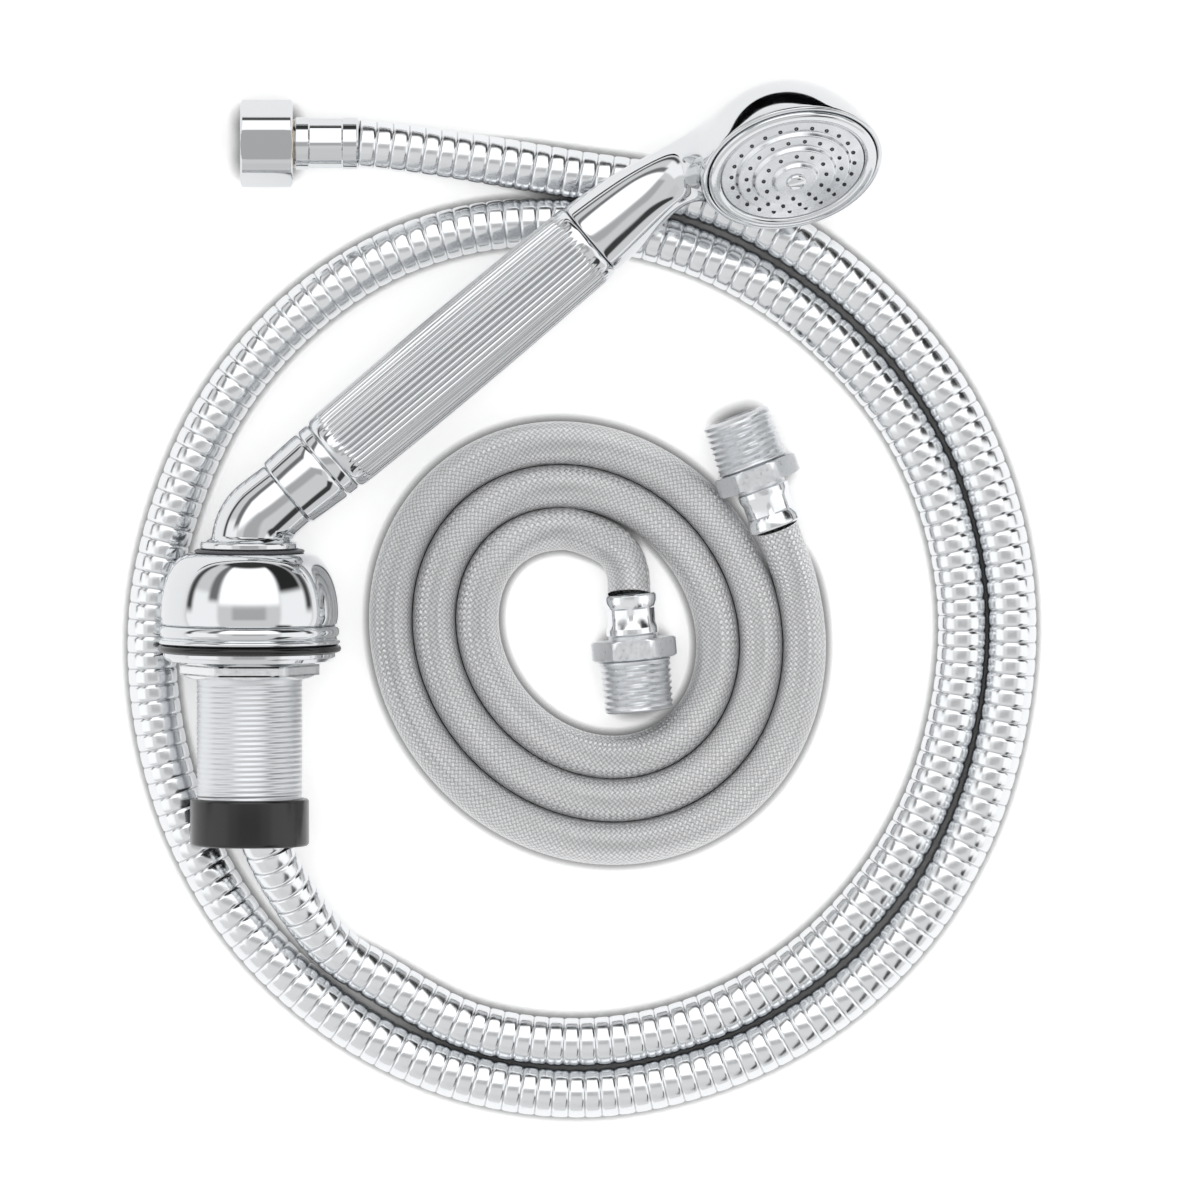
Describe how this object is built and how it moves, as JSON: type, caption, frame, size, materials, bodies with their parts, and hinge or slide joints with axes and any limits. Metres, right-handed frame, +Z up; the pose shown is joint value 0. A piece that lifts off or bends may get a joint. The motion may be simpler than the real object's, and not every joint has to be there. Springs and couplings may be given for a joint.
{
  "type": "deck-mounted hand shower kit",
  "caption": "Handheld pet bath sprayer laid out: deck mount with swivel elbow, fluted hand shower, looped metal hose and coiled braided supply hose.",
  "frame": {"origin": "on the shank's axis at the underside of the deck gasket; the surface the kit lies on is 27 mm below, under the gasket's edge", "axes": "+Y along the shank towards the dome and elbow, +Z up from the surface, +X to the right with the dome away from the viewer; the hand shower points up and to the right"},
  "size_m": [0.2658, 0.307, 0.0679],
  "materials": {
    "chrome": "polished chrome on metal",
    "chromed_plastic": "bright chrome on ABS",
    "steel": "satin stainless steel",
    "hose_steel": "bright interlocked steel strip",
    "braid": "stainless braid on a polymer tube",
    "brass": "plain brass",
    "rubber": "black, satin",
    "nylon": "grey nylon"
  },
  "bodies": {
    "deck_mount": {"threaded_shank": "steel", "deck_gasket": "rubber", "base_ring": "chrome", "dome": "chrome", "friction_washer": "nylon", "hose_guide": "rubber", "shank_hose": "hose_steel", "metal_hose": "hose_steel", "end_ferrule": "chrome", "end_stem": "brass", "end_seal": "rubber", "supply_hose": "braid", "inner_ferrule": "steel", "inner_fitting": "steel", "outer_ferrule": "steel", "outer_fitting": "steel"},
    "holder": {"swivel_elbow": "chrome", "swivel_seal": "rubber", "swivel_clip": "steel", "socket_liner": "nylon", "elbow_hose": "hose_steel"},
    "hose_cone": {"hose_nut": "chrome", "hose_nipple": "brass", "nipple_seal": "rubber", "socket_hose": "hose_steel"},
    "hand_shower": {"inlet_spigot": "brass", "flow_restrictor": "nylon", "handle_ring": "chromed_plastic", "grip": "chromed_plastic", "water_tube": "nylon", "tube_seal_low": "rubber", "tube_seal_high": "rubber", "head_shell": "chromed_plastic", "face_bezel": "chromed_plastic", "spray_plate": "chromed_plastic", "diffuser": "nylon", "face_seal": "rubber", "face_screw": "steel"},
    "clamp": {"clamp_washer": "chrome"},
    "nut": {"lock_nut": "steel"},
    "hose_end_nut": {"end_nut": "chrome"}
  },
  "joints": [
    {"name": "holder_swivel", "type": "hinge", "parent": "deck_mount", "child": "holder", "pos_m": [0, 0.037, 0], "axis": [0, -1, 0], "range_deg": [0, 160]},
    {"name": "handset_lift", "type": "slide", "parent": "holder", "child": "hose_cone", "axis": [0.766, 0.6428, 0], "range_m": [0, 0.013]},
    {"name": "handset_turn", "type": "hinge", "parent": "hose_cone", "child": "hand_shower", "pos_m": [0, 0.0372, 0], "axis": [-0.766, -0.6428, 0], "range_deg": [-10, 90]},
    {"name": "washer_travel", "type": "slide", "parent": "deck_mount", "child": "clamp", "axis": [0, -1, 0], "range_m": [0, 0.025]},
    {"name": "nut_turn", "type": "hinge", "parent": "clamp", "child": "nut", "pos_m": [0, -0.005, 0], "axis": [0, -1, 0], "range_deg": [0, 6010]},
    {"name": "end_nut_spin", "type": "hinge", "parent": "deck_mount", "child": "hose_end_nut", "pos_m": [0.005, 0.149, -0.015], "axis": [-1, 0, 0], "continuous": true}
  ],
  "couplings": [
    {"joint": "nut_turn", "follows": "washer_travel", "rad_per_m": 4188.8}
  ]
}
